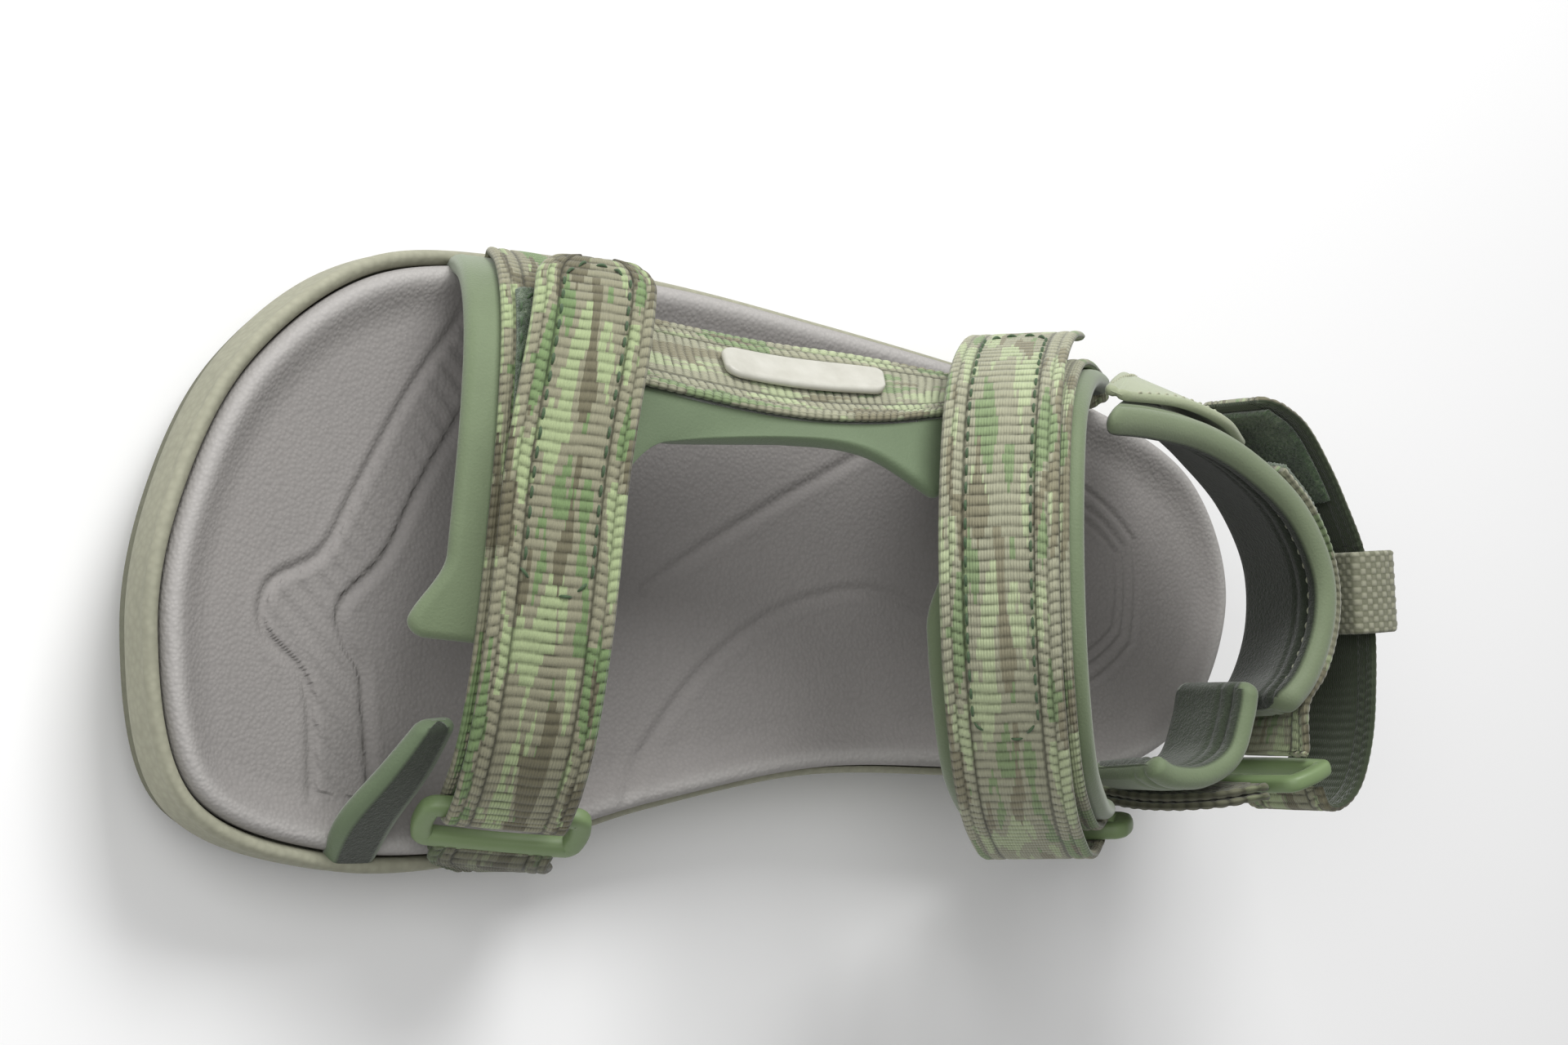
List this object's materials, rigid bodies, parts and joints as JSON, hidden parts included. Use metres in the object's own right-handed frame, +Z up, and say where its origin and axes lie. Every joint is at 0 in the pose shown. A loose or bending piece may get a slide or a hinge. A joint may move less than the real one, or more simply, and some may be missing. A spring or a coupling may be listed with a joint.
{
  "type": "sport sandal",
  "caption": "Open strappy sport sandal for a right foot: sculpted sole, padded heel collar and hook-and-loop webbing straps that turn back over moulded rings.",
  "frame": {"origin": "under the middle of the sandal's box, on the ground", "axes": "+X from the toe to the heel, +Y to the outer side of the foot, +Z up"},
  "size_m": [0.2018, 0.0898, 0.0725],
  "materials": {
    "tread_rubber": "matt moulded rubber",
    "sidewall_foam": "matt moulded foam",
    "gel": "smooth",
    "footbed_foam": "fine pebbled foam",
    "webbing": "ribbed polyester webbing",
    "pile": "hook-and-loop pile",
    "ring_plastic": "moulded plastic",
    "liner": "knit over foam",
    "shell": "smooth coated fabric",
    "badge": "moulded badge with no mark"
  },
  "bodies": {
    "sandal": {"outsole": "tread_rubber", "midsole": "sidewall_foam", "heel_shock_pad": "gel", "footbed": "footbed_foam", "forefoot_strap": "webbing", "forefoot_loop_patch": "pile", "forefoot_ring": "ring_plastic", "forefoot_ring_anchor": "webbing", "forefoot_lateral_pad": "liner", "forefoot_medial_pad": "liner", "instep_strap": "webbing", "instep_loop_patch": "pile", "instep_ring": "ring_plastic", "instep_ring_anchor": "webbing", "instep_pad": "liner", "side_strap": "webbing", "side_badge": "badge", "side_pad": "liner", "heel_collar": "liner", "lateral_quarter": "shell", "heel_strap": "webbing", "heel_loop_patch": "pile", "heel_keeper": "webbing", "heel_ring": "ring_plastic", "heel_return": "webbing", "heel_ring_anchor": "webbing", "medial_rear_pad": "liner"},
    "forefoot_flap": {"forefoot_tail": "webbing", "forefoot_hook_patch": "pile"},
    "instep_flap": {"instep_tail": "webbing", "instep_hook_patch": "pile"},
    "heel_flap": {"heel_tail": "webbing", "heel_hook_patch": "pile"}
  },
  "joints": [
    {"name": "forefoot_peel", "type": "hinge", "parent": "sandal", "child": "forefoot_flap", "pos_m": [-0.05169, -0.03552, 0.03066], "axis": [0.9204, -0.0738, 0.3839], "range_deg": [0, 110]},
    {"name": "instep_peel", "type": "hinge", "parent": "sandal", "child": "instep_flap", "pos_m": [0.04806, -0.0379, 0.03282], "axis": [0.6414, 0.0385, 0.7663], "range_deg": [0, 110]},
    {"name": "heel_peel", "type": "hinge", "parent": "sandal", "child": "heel_flap", "pos_m": [0.09126, 0.00768, 0.0495], "axis": [0, 0, -1], "range_deg": [0, 70]}
  ]
}
